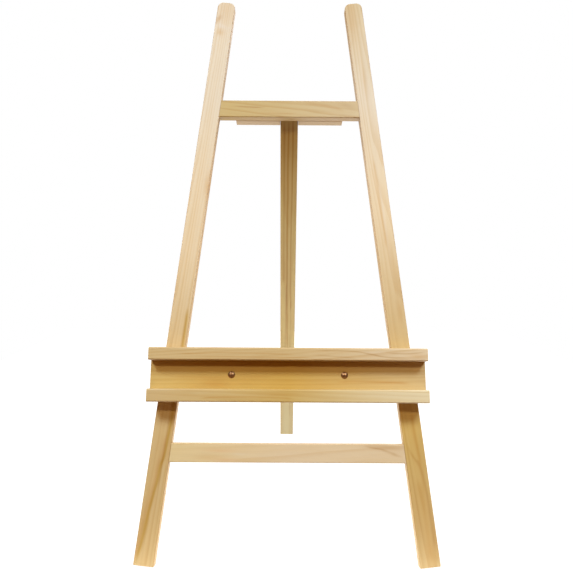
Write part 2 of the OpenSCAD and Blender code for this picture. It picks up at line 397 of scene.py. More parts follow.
class Net:
    """A material's node tree, its Principled shader and short calls that add nodes."""

    def __init__(self, name):
        self.material = bpy.data.materials.new(name)
        self.material.use_nodes = True
        self.tree = self.material.node_tree
        self.shader = self.tree.nodes["Principled BSDF"]

    def link(self, value, socket):
        """Feeds a socket from a node's output, or sets it to a plain value."""
        if isinstance(value, Number):
            value = value.socket
        if isinstance(value, bpy.types.NodeSocket):
            self.tree.links.new(value, socket)
        else:
            socket.default_value = value

    def node(self, kind, **settings):
        """A new node with some of its settings."""
        made = self.tree.nodes.new(kind)
        for key, value in settings.items():
            setattr(made, key, value)
        return made

    def math(self, operation, a, b=0.0):
        """A Math node's result."""
        made = self.node("ShaderNodeMath", operation=operation)
        self.link(a, made.inputs[0])
        self.link(b, made.inputs[1])
        return Number(self, made.outputs[0])

    def vector(self, operation, a, b):
        """A Vector Math node's result."""
        made = self.node("ShaderNodeVectorMath", operation=operation)
        self.link(a, made.inputs[0])
        self.link(b, made.inputs[1])
        output = "Value" if operation == "DOT_PRODUCT" else "Vector"
        return Number(self, made.outputs[output])

    def smooth(self, value, start, end, low=0.0, high=1.0):
        """From low at start to high at end, smoothly, and flat outside."""
        made = self.node("ShaderNodeMapRange", interpolation_type="SMOOTHSTEP")
        for socket, given in zip(made.inputs, (value, start, end, low, high)):
            self.link(given, socket)
        return Number(self, made.outputs[0])

    def timber(self, place):
        """The point in a piece's own axes, metres."""
        made = self.node("ShaderNodeMapping", vector_type="TEXTURE")
        coords = self.node("ShaderNodeTexCoord")
        self.link(coords.outputs["Object"], made.inputs["Vector"])
        made.inputs["Location"].default_value = place.translation
        made.inputs["Rotation"].default_value = place.to_euler()
        return made.outputs["Vector"]

    def split(self, vector):
        """The three parts of a vector or colour."""
        made = self.node("ShaderNodeSeparateXYZ")
        self.link(vector, made.inputs[0])
        return [Number(self, output) for output in made.outputs]

    def noise(self, point, scale, detail=2.0, rough=0.5):
        """Noise about 0, from about -0.5 to 0.5. scale is how many features there are in a metre, by axis."""
        stretched = self.vector("MULTIPLY", point, scale)
        made = self.node("ShaderNodeTexNoise", noise_dimensions="3D")
        self.link(stretched, made.inputs["Vector"])
        made.inputs["Scale"].default_value = 1.0
        made.inputs["Detail"].default_value = detail
        made.inputs["Roughness"].default_value = rough
        return Number(self, made.outputs[0]) - 0.5

    def white(self, value):
        """A number from 0 to 1 that differs from one input to the next."""
        made = self.node("ShaderNodeTexWhiteNoise", noise_dimensions="1D")
        self.link(value, made.inputs["W"])
        return Number(self, made.outputs["Value"])

    def curve(self, value, points):
        """A smooth curve through points, (input, output) pairs in rising order of input."""
        inputs = [p[0] for p in points]
        outputs = [p[1] for p in points]
        x0, x1 = inputs[0], inputs[-1]
        y0 = min(outputs) - CURVE_MARGIN
        y1 = max(outputs) + CURVE_MARGIN
        made = self.node("ShaderNodeFloatCurve")
        self.link((value - x0) / (x1 - x0), made.inputs["Value"])
        line = made.mapping.curves[0]
        for k, (x, y) in enumerate(points):
            spot = ((x - x0) / (x1 - x0), (y - y0) / (y1 - y0))
            if k == 0:
                line.points[0].location = spot
            elif k == len(points) - 1:
                line.points[-1].location = spot
            else:
                line.points.new(*spot)
        made.mapping.update()
        return Number(self, made.outputs[0]) * (y1 - y0) + y0

    def ramp(self, value, stops):
        """A colour that changes with a value, through stops of (value, colour)."""
        if len(stops) == 1:
            return stops[0][1]
        first, last = stops[0][0], stops[-1][0]
        made = self.node("ShaderNodeValToRGB")
        self.link((value - first) / (last - first), made.inputs[0])
        elements = made.color_ramp.elements
        while len(elements) < len(stops):
            elements.new(0.5)
        for k, (at, colour) in enumerate(stops):
            elements[k].position = (at - first) / (last - first)
            elements[k].color = colour
        return made.outputs[0]

    def mix(self, share, a, b, blend="MIX"):
        """Colour a blended with colour b by a share."""
        made = self.node("ShaderNodeMix", data_type="RGBA", blend_type=blend, clamp_factor=True)
        self.link(share, made.inputs["Factor"])
        self.link(a, made.inputs[6])
        self.link(b, made.inputs[7])
        return made.outputs[2]

    def scaled(self, colour, by):
        """A colour times a number."""
        made = self.node("ShaderNodeVectorMath", operation="SCALE")
        self.link(colour, made.inputs[0])
        self.link(by, made.inputs["Scale"])
        return made.outputs[0]

    def bump(self, height):
        """Bump whose height is in metres."""
        made = self.node("ShaderNodeBump")
        made.inputs["Strength"].default_value = 1.0
        made.inputs["Distance"].default_value = 1.0
        self.link(height, made.inputs["Height"])
        self.link(made.outputs[0], self.shader.inputs["Normal"])

    def colour(self, value):
        """Sets the surface's colour."""
        self.link(value, self.shader.inputs["Base Color"])

    def set(self, name, value):
        """Sets one of the shader's other inputs, by name."""
        self.link(value, self.shader.inputs[name])


def srgb(r, g, b):
    """Linear colour with alpha, from display values of 0 to 255."""
    def linear(c):
        """One channel of it."""
        c = c / 255
        return c / 12.92 if c <= 0.04045 else ((c + 0.055) / 1.055) ** 2.4
    return (linear(r), linear(g), linear(b), 1.0)


# ---- materials ----
# Tints multiply the timber's own colour.
LATE = (0.83, 0.69, 0.50, 1.0)
BAND = (0.93, 0.87, 0.76, 1.0)
AMBER = (0.84, 0.64, 0.38, 1.0)
HEART = (0.72, 0.50, 0.26, 1.0)
BROWN = (0.74, 0.60, 0.44, 1.0)
OCHRE = (0.79, 0.67, 0.32, 1.0)
ROSE = (0.93, 0.83, 0.74, 1.0)
PINK = (1.00, 0.89, 0.84, 1.0)
CREAM = (1.03, 1.08, 1.24, 1.0)
END_GRAIN = (0.80, 0.66, 0.50, 1.0)


class Streak:
    """A coloured line along the grain through points of (x, y), fading at both ends."""

    def __init__(self, points, width, tint, share, fade=0.03):
        self.points = points
        self.width = width
        self.tint = tint
        self.share = share
        self.fade = fade

    def strength(self, net, x, y):
        """How strongly it shows at (x, y)."""
        start, stop = self.points[0][0], self.points[-1][0]
        off = (y - net.curve(x, self.points)) / self.width
        ends = net.smooth(x, start, start + self.fade) * net.smooth(x, stop - self.fade, stop, 1.0, 0.0)
        return net.math("EXPONENT", off * off * -1.0) * ends * self.share


class Patch:
    """A soft coloured patch about a centre (x, y), with its half length and half width."""

    def __init__(self, centre, reach, tint, share, slope=0.0):
        self.centre = centre
        self.reach = reach
        self.tint = tint
        self.share = share
        self.slope = slope

    def strength(self, net, x, y):
        """How strongly it shows at (x, y)."""
        off_x = (x - self.centre[0]) / self.reach[0]
        off_y = (y - self.centre[1] - (x - self.centre[0]) * self.slope) / self.reach[1]
        return net.math("EXPONENT", (off_x * off_x + off_y * off_y) * -1.0) * self.share


# How many features of each kind of noise there are in a metre, along and across the grain
SLOW = (1.6, 11, 11)
MIDDLE = (6, 75, 75)
BROAD = (0.8, 50, 50)
TONE = (1.4, 38, 38)
CLOUD = (11, 50, 50)
FIBRE = (22, 1500, 1500)
RESIN = (45, 2600, 2600)
# Width of the band along an edge that is darkened, for wear and as painted shade on its rounding
WEAR_AND_SHADE_W = 0.0028


def late_wood(net, at, spots, pith, drift, ring, seed, slow, middle):
    """Share of dark late wood in the growth rings about the pith, each ring of its own strength."""
    x, y, z = at
    across = y - pith[0] - x * drift[0] + slow * 0.016
    depth = z - pith[1] - x * drift[1]
    reach = net.math("SQRT", across * across + depth * depth) + middle * 0.0026 + slow * 0.012
    rings = reach / ring + net.noise(spots, BROAD, 0.0) * 1.5
    phase = net.math("FRACT", rings)
    own = net.white(net.math("FLOOR", rings) + seed)
    share = net.smooth(phase, 0.25, 0.86) * net.smooth(phase, 0.90, 1.0, 1.0, 0.0)
    return share * (own * 0.9 + 0.2)


def end_grain(net, place):
    """1 on the ends of a piece and 0 on its sides."""
    normal = net.node("ShaderNodeTexCoord").outputs["Normal"]
    end = net.math("ABSOLUTE", net.vector("DOT_PRODUCT", normal, place.col[0].xyz))
    return net.smooth(end, 0.35, 0.9)


def edge_wear_and_shade(net, at, half, cloud):
    """Uneven wear along the long edges, with painted shade on their rounding."""
    edge_y = net.smooth(net.math("ABSOLUTE", at[1]), half[0] - WEAR_AND_SHADE_W, half[0])
    edge_z = net.smooth(net.math("ABSOLUTE", at[2]), half[1] - WEAR_AND_SHADE_W, half[1])
    return edge_y * edge_z * net.smooth(cloud, -0.4, 0.1)


def marked(net, colour, at, marks, middle, cloud):
    """The timber's colour with its streaks and patches, their outlines made a little uneven."""
    x = at[0] + cloud * 0.03
    y = at[1] + middle * 0.004 + cloud * 0.003
    for mark in marks:
        share = mark.strength(net, x, y) * (middle + 1.0)
        colour = net.mix(share, colour, mark.tint, "MULTIPLY")
    return colour


def pine(name, place, half, seed, tones, pith=(0.015, -0.05), drift=(0.004, 0.02), ring=0.0052,
         lines=0.55, bands=0.55, marks=()):
    """Oiled pine. half is half the width and half the thickness, tones the colour at places along the
    grain, pith where the tree's heart runs beside the piece, drift how it wanders in a metre, ring the
    width of a growth ring, and lines and bands how strongly the rings and the broad bands show."""
    net = Net(name)
    point = net.timber(place)
    at = net.split(point)
    spots = net.vector("ADD", point, (seed * 1.7, seed * 0.9, seed * 0.4))
    slow = net.noise(spots, SLOW, 1.0)
    middle = net.noise(spots, MIDDLE, 2.0)
    late = late_wood(net, at, spots, pith, drift, ring, seed, slow, middle)
    tone = net.noise(spots, TONE, 3.0, 0.55)
    cloud = net.noise(spots, CLOUD, 2.0, 0.5)
    fibre = net.noise(spots, FIBRE, 2.0, 0.6)
    colour = net.ramp(at[0], tones)
    colour = net.mix(late * lines, colour, LATE, "MULTIPLY")
    colour = net.mix(net.smooth(tone, -0.12, 0.3) * bands, colour, BAND, "MULTIPLY")
    colour = net.mix(net.smooth(cloud, -0.05, 0.3) * bands * 0.6, colour, BAND, "MULTIPLY")
    colour = marked(net, colour, at, marks, middle, cloud)
    resin = net.noise(spots, RESIN, 0.0)
    colour = net.mix(net.smooth(resin, 0.26, 0.36) * late * 0.6, colour, HEART, "MULTIPLY")
    end = end_grain(net, place)
    colour = net.mix(end * 0.85, colour, END_GRAIN, "MULTIPLY")
    # Long edges darkened: partly wear, partly painted shade on the eased rounding
    colour = net.mix(edge_wear_and_shade(net, at, half, cloud) * 0.75, colour, BROWN, "MULTIPLY")
    net.colour(net.scaled(colour, tone * 0.14 + fibre * 0.13 + 1.0))
    net.set("Roughness", fibre * 0.12 + end * 0.25 - late * 0.06 + 0.47)
    net.bump(late * 0.00003 + fibre * 0.00008)
    return net.material


SPANGLES = (900, 900, 900)
SMUDGES = (160, 160, 160)
SCRATCHES = (900, 5000, 5000)


def metal(name, tint, dark, rough):
    """Plated steel: faint crystal spangle, smudges and fine scratches."""
    net = Net(name)
    point = net.timber(Matrix.Identity(4))
    spangle = net.node("ShaderNodeTexVoronoi", feature="F1")
    net.link(net.vector("MULTIPLY", point, SPANGLES), spangle.inputs["Vector"])
    spangle.inputs["Scale"].default_value = 1.0
    grey = net.split(spangle.outputs["Color"])[0]
    smudge = net.noise(point, SMUDGES, 3.0, 0.6)
    scratch = net.noise(point, SCRATCHES, 1.0)
    net.colour(net.mix(net.smooth(smudge, -0.05, 0.25) * 0.6 + grey * 0.15, tint, dark))
    net.set("Metallic", 1.0)
    net.set("Roughness", rough + smudge * 0.22 + grey * 0.06)
    net.bump(smudge * 0.00003 + scratch * 0.000006)
    return net.material


def beech(name):
    """Beech: pinkish brown with short dark flecks along the grain."""
    net = Net(name)
    point = net.timber(Matrix.Identity(4))
    fleck = net.noise(point, (160, 900, 900), 1.0)
    tone = net.noise(point, (30, 200, 200), 3.0)
    colour = net.mix(net.smooth(fleck, 0.12, 0.3), srgb(206, 168, 122), srgb(150, 104, 66))
    net.colour(net.scaled(colour, tone * 0.3 + 1.0))
    net.set("Roughness", 0.6 + fleck * 0.2)
    net.bump(fleck * 0.00006)
    return net.material


BRONZE = metal("bronzed_steel", srgb(165, 125, 90), srgb(105, 65, 35), 0.38)
ZINC = metal("zinc_steel", srgb(205, 206, 204), srgb(150, 152, 152), 0.34)
BEECH = beech("beech_dowel")


# ---- shared cutting shapes ----
def dowel_spots(bar):
    """The inner faces' points where a crossbar's dowels cross into the legs."""
    for side in SIDES.values():
        for k in (-1, 1):
            y = bar[0] + bar[1] / 2 + k * DOWEL_GAP / 2
            yield on_frame(side * inner_x(y), y, -STOCK_T / 2)


def dowel_holes(bar):
    """Cutting shapes for a crossbar's dowels, a little longer than the dowels."""
    length = DOWEL_LEN + 2 * OVER
    holes = []
    for spot in dowel_spots(bar):
        place = axes(spot - ACROSS * length / 2, UP, ACROSS)
        holes.append(placed(rod(DOWEL_D / 2 + FIT_GAP, length), place))
    return holes


def screw_profile():
    """Countersunk screw along -z with its flat head's face at z = 0."""
    return [(0, -SCREW_LEN), (SCREW_D / 2, -SCREW_LEN + SCREW_POINT_LEN), (SCREW_D / 2, -SCREW_HEAD_H),
            (SCREW_HEAD_D / 2, -SCREW_RIM), (SCREW_HEAD_D / 2, 0), (0, 0)]


def screw_hole_profile():
    """Hole for a countersunk screw, square at its bottom and open at its face."""
    r = SCREW_D / 2 + FIT_GAP
    head = SCREW_HEAD_D / 2 + FIT_GAP
    return [(0, -SCREW_LEN), (r, -SCREW_LEN), (r, -SCREW_HEAD_H), (head, -SCREW_RIM), (head, OVER), (0, OVER)]


def screw_places(spots, facing):
    """The axes of screws whose heads' faces are at the spots."""
    return [axes(spot, UP, facing) for spot in spots]


CHEEK_IN = LEG_W / 2 + CHEEK_GAP
CHEEK_SCREWS = screw_places(
    [on_frame(side * (CHEEK_IN + k * (CHEEK_REACH - CHEEK_IN)), PIN_Y, -STOCK_T - CHEEK_T)
     for side in SIDES.values() for k in CHEEK_SCREW_AT], -FRONT)
RAIL_SCREWS = screw_places(
    [on_frame(x, y, SLIP) for y in (TRAY_Y + RAIL_H / 2, TRAY_Y + TRAY_H - RAIL_H / 2)
     for x in RAIL_SCREW_X], -FRONT)


def screw_holes(places):
    """Cutting shapes for screws."""
    return [placed(lathe(screw_hole_profile(), 24), place) for place in places]


def screw(place, turn):
    """A countersunk screw with a cross recess."""
    recess = []
    for k in (0, 1):
        slot = prism(
            rect(-RECESS_HALF_LEN, RECESS_HALF_LEN, -RECESS_HALF_W, RECESS_HALF_W), -RECESS_DEPTH, OVER)
        for vert in slot.verts:
            if vert.co.z < 0:
                vert.co.x *= 0.35
        recess.append(placed(slot, Matrix.Rotation(turn + k * pi / 2, 4, "Z")))
    return placed(assembled(lathe(screw_profile(), 32), recess, "DIFFERENCE"), place)


def bolt_place(side):
    """A carriage bolt's axes: z to the front, 0 under its head."""
    return axes(on_frame(side * BOLT_SPACING / 2, BOLT_Y, BOARD_FRONT), ACROSS, FRONT)


def bolt_hole(side):
    """Cutting shape for a carriage bolt's shank."""
    hole = placed(rod(BOLT_D / 2 + FIT_GAP, BOLT_LEN), Matrix.Translation((0, 0, -BOLT_LEN)))
    return placed(hole, bolt_place(side))


def neck_hole(side):
    """Cutting shape for a carriage bolt's square neck."""
    half = BOLT_D / 2 + FIT_GAP
    return placed(prism(rect(-half, half, -half, half), -NECK_LEN - FIT_GAP, FIT_GAP), bolt_place(side))


# ---- front frame ----
def leg_place(side):
    """A front leg's axes: x up the leg from the middle of its foot."""
    along = UP * cos(SPLAY) - ACROSS * side * sin(SPLAY)
    return axes(on_frame(side * FOOT_SPREAD / 2, 0, -STOCK_T / 2), along, FRONT)


def front_leg(side_name, material):
    """A front leg, its foot cut square and its top rounded at both corners."""
    side = SIDES[side_name]
    half = LEG_W / 2
    top = LEG_LEN - LEG_TOP_R
    outline = [(0, half), (0, -half)]
    outline += arc((top, -half + LEG_TOP_R), LEG_TOP_R, -90, 0)
    outline += arc((top, half - LEG_TOP_R), LEG_TOP_R, 0, 90)
    bm = prism(outline, -STOCK_T / 2, STOCK_T / 2)
    ease(bm, lambda a, b: abs(a.z - b.z) < TINY and max(a.x, b.x) > ARRIS, EASE_R)
    ease(bm, lambda a, b: max(a.x, b.x) < TINY, ARRIS, 1)
    placed(bm, leg_place(side))
    cut = merged(dowel_holes(UPPER_BAR) + dowel_holes(LOWER_BAR))
    add_piece("leg_" + side_name, bm, "front_frame", "front_leg_" + side_name, material, cut)


def bar_place(bar):
    """A crossbar's axes, about its middle."""
    return axes(on_frame(0, bar[0] + bar[1] / 2, -STOCK_T / 2), ACROSS, FRONT)


def crossbar(name, node, bar, material, extra_cuts=()):
    """A crossbar, its ends cut to the slope of the legs."""
    low = inner_x(bar[0])
    high = inner_x(bar[0] + bar[1])
    half = bar[1] / 2
    outline = [(-low, -half), (low, -half), (high, half), (-high, half)]
    bm = prism(outline, -STOCK_T / 2, STOCK_T / 2)
    ease(bm, lengthwise, EASE_R)
    placed(bm, bar_place(bar))
    cut = merged(dowel_holes(bar) + list(extra_cuts))
    add_piece(name, bm, "front_frame", node, material, cut)


def fluted(radius, angle, z):
    """Radius of a fluted dowel round its turn."""
    return radius * (1 - FLUTE_DEPTH * (0.5 + 0.5 * cos(FLUTES * angle)) ** 3)


def dowels(name, node, bar):
    """The four fluted dowels of a crossbar."""
    r = DOWEL_D / 2
    profile = [(0, 0), (r - DOWEL_CHAMFER, 0), (r, DOWEL_CHAMFER), (r, DOWEL_LEN - DOWEL_CHAMFER),
               (r - DOWEL_CHAMFER, DOWEL_LEN), (0, DOWEL_LEN)]
    rods = []
    for spot in dowel_spots(bar):
        place = axes(spot - ACROSS * DOWEL_LEN / 2, UP, ACROSS)
        rods.append(placed(lathe(profile, 96, fluted), place))
    add_piece(name, merged(rods), "front_frame", node, BEECH)


def cheek_place(side):
    """A pivot cheek's axes, about its middle."""
    return axes(on_frame(side * (CHEEK_IN + CHEEK_REACH) / 2, PIN_Y, -STOCK_T - CHEEK_T / 2), ACROSS, FRONT)


def pin_hole(length):
    """Cutting shape for the pivot pin."""
    place = axes(PIVOT - ACROSS * length / 2, UP, ACROSS)
    return placed(rod(PIN_D / 2 + FIT_GAP, length), place)


def cheek(side_name, material):
    """A pivot cheek, more rounded at the back than where it meets the crossbar."""
    side = SIDES[side_name]
    half_x = (CHEEK_REACH - CHEEK_IN) / 2
    bm = prism(rect(-half_x, half_x, -UPPER_BAR_H / 2, UPPER_BAR_H / 2), -CHEEK_T / 2, CHEEK_T / 2)
    ease(bm, lambda a, b: lengthwise(a, b) and max(a.z, b.z) < 0, CHEEK_EASE, 3)
    ease(bm, any_edge, ARRIS, 1)
    placed(bm, cheek_place(side))
    cut = merged(screw_holes(CHEEK_SCREWS) + [pin_hole(PIN_LEN + 2 * OVER)])
    name = "pivot_cheek_" + side_name
    add_piece("cheek_" + side_name, bm, "front_frame", name, material, cut)


# ---- rear leg ----
LEAN = atan2(UP.y, UP.z)
FOLD = radians(joints["rear_leg_fold"]["range_deg"][1])
REAR_TILT = FOLD - LEAN
REAR_LEN = (PIVOT.z - STOCK_T / 2 * sin(REAR_TILT)) / cos(REAR_TILT)
STOP_R = PIN_SETBACK - SLIP
REAR_PLACE = axes(
    PIVOT, Vector((0, -sin(REAR_TILT), cos(REAR_TILT))), Vector((0, -cos(REAR_TILT), -sin(REAR_TILT))))


def rear_leg(material):
    """Its head is rounded about the pin and runs into the flat that stops on the crossbar."""
    half = STOCK_T / 2
    outline = [(-REAR_LEN, -half), (-REAR_LEN, half)]
    outline += arc((0, 0), STOP_R, degrees(asin(half / STOP_R)), 90 - degrees(FOLD), 5)
    outline += [(REAR_HEAD, (STOP_R - REAR_HEAD * sin(FOLD)) / cos(FOLD)), (REAR_HEAD, -half)]
    bm = prism(outline, -LEG_W / 2, LEG_W / 2, side_view=True)
    ease(bm, lambda a, b: abs(a.y - b.y) < TINY and max(a.x, b.x) > -REAR_LEN / 2, EASE_R)
    ease(bm, lambda a, b: max(a.x, b.x) < -REAR_LEN + TINY, ARRIS, 1)
    placed(bm, REAR_PLACE)
    cut = pin_hole(LEG_W + 2 * OVER)
    add_piece("back_leg", bm, "rear_leg", "rear_leg", material, cut)


def pivot_pin():
    """The steel pin, which turns with the rear leg."""
    place = axes(PIVOT - ACROSS * PIN_LEN / 2, UP, ACROSS)
    bm = placed(rod(PIN_D / 2, PIN_LEN, PIN_EASE, 48), place)
    add_piece("pin", bm, "rear_leg", "pivot_pin", ZINC)


# ---- tray ----
def board_place():
    """The back board's axes, about its middle."""
    return axes(on_frame(0, TRAY_Y + TRAY_H / 2, SLIP + BOARD_T / 2), ACROSS, FRONT)


def back_board(material):
    """The tray's back board, with holes for the bolts and the rails' screws."""
    half = TRAY_LEN / 2
    bm = prism(rect(-half, half, -TRAY_H / 2, TRAY_H / 2), -BOARD_T / 2, BOARD_T / 2)
    ease(bm, any_edge, BOARD_EASE, 2)
    placed(bm, board_place())
    cut = merged([hole(side) for side in SIDES.values() for hole in (bolt_hole, neck_hole)]
                 + screw_holes(RAIL_SCREWS))
    add_piece("board", bm, "tray", "tray_back_board", material, cut)


def rail_place(rail_y):
    """A tray rail's axes, about its middle. rail_y is the height of its lower edge up the frame."""
    return axes(on_frame(0, rail_y + RAIL_H / 2, BOARD_FRONT + RAIL_D / 2), ACROSS, FRONT)


def rail(name, node, rail_y, material):
    """A tray rail, its front edges rounded."""
    half = TRAY_LEN / 2
    bm = prism(rect(-half, half, -RAIL_H / 2, RAIL_H / 2), -RAIL_D / 2, RAIL_D / 2)
    ease(bm, lambda a, b: lengthwise(a, b) and min(a.z, b.z) > 0, RAIL_EASE_R, 5)
    ease(bm, any_edge, RAIL_ARRIS, 2)
    placed(bm, rail_place(rail_y))
    places = [p for p in RAIL_SCREWS if abs((p.translation - on_frame(0, rail_y)).dot(UP)) < RAIL_H]
    add_piece(name, bm, "tray", node, material, merged(screw_holes(places)))


def screws(name, node, body, places):
    """A group of screws, each recess at its own turn."""
    solids = [screw(place, FIRST_TURN + NEXT_TURN * k) for k, place in enumerate(places)]
    add_piece(name, merged(solids), body, node, ZINC)


# ---- tray clamp ----
def thread(radius, low, high):
    """Profile and helical ridge of a threaded end, for lathe()."""
    profile = [(radius, low + (high - low) * k / THREAD_ROWS) for k in range(THREAD_ROWS + 1)]

    def ridge(r, angle, z):
        """Radius at a point of the threaded end, and r itself anywhere else."""
        if r < radius or not low < z < high:
            return r
        turn = (z - low) / THREAD_PITCH - angle / (2 * pi)
        depth = abs((turn % 1) - 0.5) * 2
        return r - THREAD_DEPTH * depth

    return profile, ridge


def dome():
    """Profile of a bolt's head above its rim, from the rim to just short of its top."""
    dome_r = (BOLT_HEAD_D ** 2 / 4 + BOLT_HEAD_H ** 2) / 2 / BOLT_HEAD_H
    points = []
    for k in range(DOME_STEPS, 0, -1):
        z = BOLT_HEAD_H * (1 - (k / DOME_STEPS) ** 2)
        reach = sqrt(dome_r ** 2 - (z - BOLT_HEAD_H + dome_r) ** 2)
        points.append((reach * DOME_SHARE, z))
    return points


def carriage_bolt(side_name):
    """A carriage bolt with a domed head, a square neck and a threaded end."""
    side = SIDES[side_name]
    r = BOLT_D / 2
    start = -BOLT_LEN + BOLT_TIP
    threaded, ridge = thread(r, start, start + THREAD_LEN)
    head = dome()
    rim = head[0][0]
    shank = [(0, -BOLT_LEN), (r - BOLT_TIP_IN, -BOLT_LEN)] + threaded + [(r, 0)]
    top = [(rim - BOLT_RIM_IN, 0), (rim, BOLT_RIM)] + head[1:] + [(0, BOLT_HEAD_H)]
    neck = prism(rect(-r, r, -r, r), -NECK_LEN, NECK_ROOT)
    bm = placed(assembled(lathe(shank + top, 48, ridge), [neck], "UNION"), bolt_place(side))
    add_piece("bolt_" + side_name, bm, "tray", "carriage_bolt_" + side_name, BRONZE)


def block_place(side):
    """Clamp block: x outwards along its grain, z to the front."""
    return axes(on_frame(side * BLOCK_IN, BOLT_Y, 0), ACROSS * side, FRONT)


def clamp_block(side_name, material):
    """A stepped block: its heel bears on the back board, and the rest lies behind the leg."""
    side = SIDES[side_name]
    length = BLOCK_OUT - BLOCK_IN
    back, face, heel = BLOCK_BACK, BLOCK_BACK + BLOCK_T, SLIP
    outline = [(0, back), (length, back), (length, face), (HEEL_LEN, face), (HEEL_LEN, heel), (0, heel)]
    bm = prism(outline, -BLOCK_H / 2, BLOCK_H / 2, side_view=True)
    ease(bm, any_edge, BLOCK_EASE, 3)
    placed(bm, block_place(side))
    name = "clamp_block_" + side_name
    add_piece("block_" + side_name, bm, "tray", name, material, bolt_hole(side))


def washer(side_name):
    """A flat washer between a clamp block and its wing nut."""
    side = SIDES[side_name]
    place = axes(on_frame(side * BOLT_SPACING / 2, BOLT_Y, BLOCK_BACK - WASHER_T), ACROSS, FRONT)
    bm = placed(rod(WASHER_D / 2, WASHER_T, WASHER_EASE, 64), place)
    hole = rod(BOLT_D / 2 + FIT_GAP, WASHER_T + 2 * OVER, 0, 48)
    cut = placed(hole, place @ Matrix.Translation((0, 0, -OVER)))
    name = "clamp_washer_" + side_name
    add_piece("washer_" + side_name, bm, "tray", name, ZINC, cut)


def wing_outline():
    """One wing in side view: from the hub outwards, with a round tip."""
    tip = (WING_SPAN / 2 - WING_TIP_R, WING_RISE - WING_TIP_R)
    start = WING_SLOPE - 90
    outline = [(0, WING_ROOT), (NUT_BASE_D / 2 - WING_ROOT, WING_ROOT)]
    outline += arc(tip, WING_TIP_R, start, start + 180, 14)
    return outline + [(NUT_TIP_D / 2, NUT_H - WING_ROOT), (0, NUT_H - WING_ROOT)]


def wing(turn):
    """One wing, rounded along its outer edges and turned about the hub."""
    bm = prism(wing_outline(), -WING_T / 2, WING_T / 2, side_view=True)
    ease(bm, lambda a, b: abs(a.y - b.y) < TINY and max(a.x, b.x) > NUT_TIP_D / 2, WING_EASE, 3)
    return placed(bm, Matrix.Rotation(turn, 4, "Z"))


def wing_nut(side_name):
    """A wing nut: a tapered hub with two wings."""
    side = SIDES[side_name]
    place = axes(on_frame(side * BOLT_SPACING / 2, BOLT_Y, NUT_FACE), ACROSS, -FRONT)
    place = place @ Matrix.Rotation(-side * WING_TURN, 4, "Z")
    base_r, tip_r = NUT_BASE_D / 2, NUT_TIP_D / 2
    hub = lathe([(0, 0), (base_r - HUB_EASE, 0), (base_r, HUB_EASE),
                 (tip_r + HUB_FLARE, NUT_H - HUB_EASE), (tip_r - HUB_EASE, NUT_H), (0, NUT_H)], 48)
    bm = placed(assembled(hub, [wing(0), wing(pi)], "UNION"), place)
    bore = rod(BOLT_D / 2 + FIT_GAP, WING_RISE, 0, 48)
    cut = placed(bore, place @ Matrix.Translation((0, 0, -2 * OVER)))
    name = "wing_nut_" + side_name
    add_piece("nut_" + side_name, bm, name, name, ZINC, cut)


# ---- the pieces and their timber ----
LEG_HALF = (LEG_W / 2, STOCK_T / 2)
TOP_BAR_HALF = (UPPER_BAR_H / 2, STOCK_T / 2)
LOW_BAR_HALF = (LOWER_BAR_H / 2, STOCK_T / 2)
CHEEK_HALF = (UPPER_BAR_H / 2, CHEEK_T / 2)
BOARD_HALF = (TRAY_H / 2, BOARD_T / 2)
RAIL_HALF = (RAIL_H / 2, RAIL_D / 2)
BLOCK_HALF = (BLOCK_H / 2, BLOCK_T / 2)

# x is up a leg from its foot; y is to the left as seen from the front
HEART_LINE = [(0.0, 0.018), (0.05, 0.011), (0.11, 0.006), (0.15, 0.0), (0.18, -0.004),
              (0.21, -0.005), (0.24, -0.010), (0.29, -0.013), (0.57, -0.015)]
LEFT_LEG_MARKS = [
    Streak(HEART_LINE, 0.0042, OCHRE, 0.95),
    Streak([(x, y + 0.006) for x, y in HEART_LINE[:-1]], 0.0045, ROSE, 0.75),
    Streak([(x, y - 0.008) for x, y in HEART_LINE[:-2]], 0.005, CREAM, 0.3),
    Patch((0.873, -0.018), (0.03, 0.007), AMBER, 0.6),
    Patch((1.318, 0.017), (0.010, 0.008), HEART, 0.55, -0.4),
    Patch((1.284, 0.006), (0.009, 0.009), AMBER, 0.55),
    Patch((1.301, 0.002), (0.006, 0.016), CREAM, 0.7),
    Patch((1.352, 0.0), (0.05, 0.03), AMBER, 0.35),
]
RIGHT_LEG_MARKS = [
    Patch((1.34, 0.012), (0.09, 0.016), AMBER, 0.45),
    Patch((1.15, -0.004), (0.05, 0.006), AMBER, 0.35),
    Streak([(0.70, 0.000), (0.80, 0.001), (0.95, 0.003)], 0.003, AMBER, 0.45),
    Streak([(0.62, -0.006), (0.75, -0.005), (0.88, -0.003)], 0.0025, CREAM, 0.5),
    Patch((0.56, -0.010), (0.03, 0.006), AMBER, 0.4),
    Streak([(0.03, -0.015), (0.13, -0.0145), (0.16, -0.013), (0.204, -0.008), (0.235, 0.006), (0.26, 0.017)],
           0.0038, HEART, 0.42),
    Streak([(0.0, -0.004), (0.06, -0.004), (0.13, -0.002), (0.19, 0.004)], 0.007, AMBER, 0.45),
    Streak([(0.20, -0.012), (0.26, -0.006), (0.31, -0.004), (0.34, -0.008)], 0.004, AMBER, 0.5),
    Patch((0.10, 0.013), (0.07, 0.006), ROSE, 0.6),
]
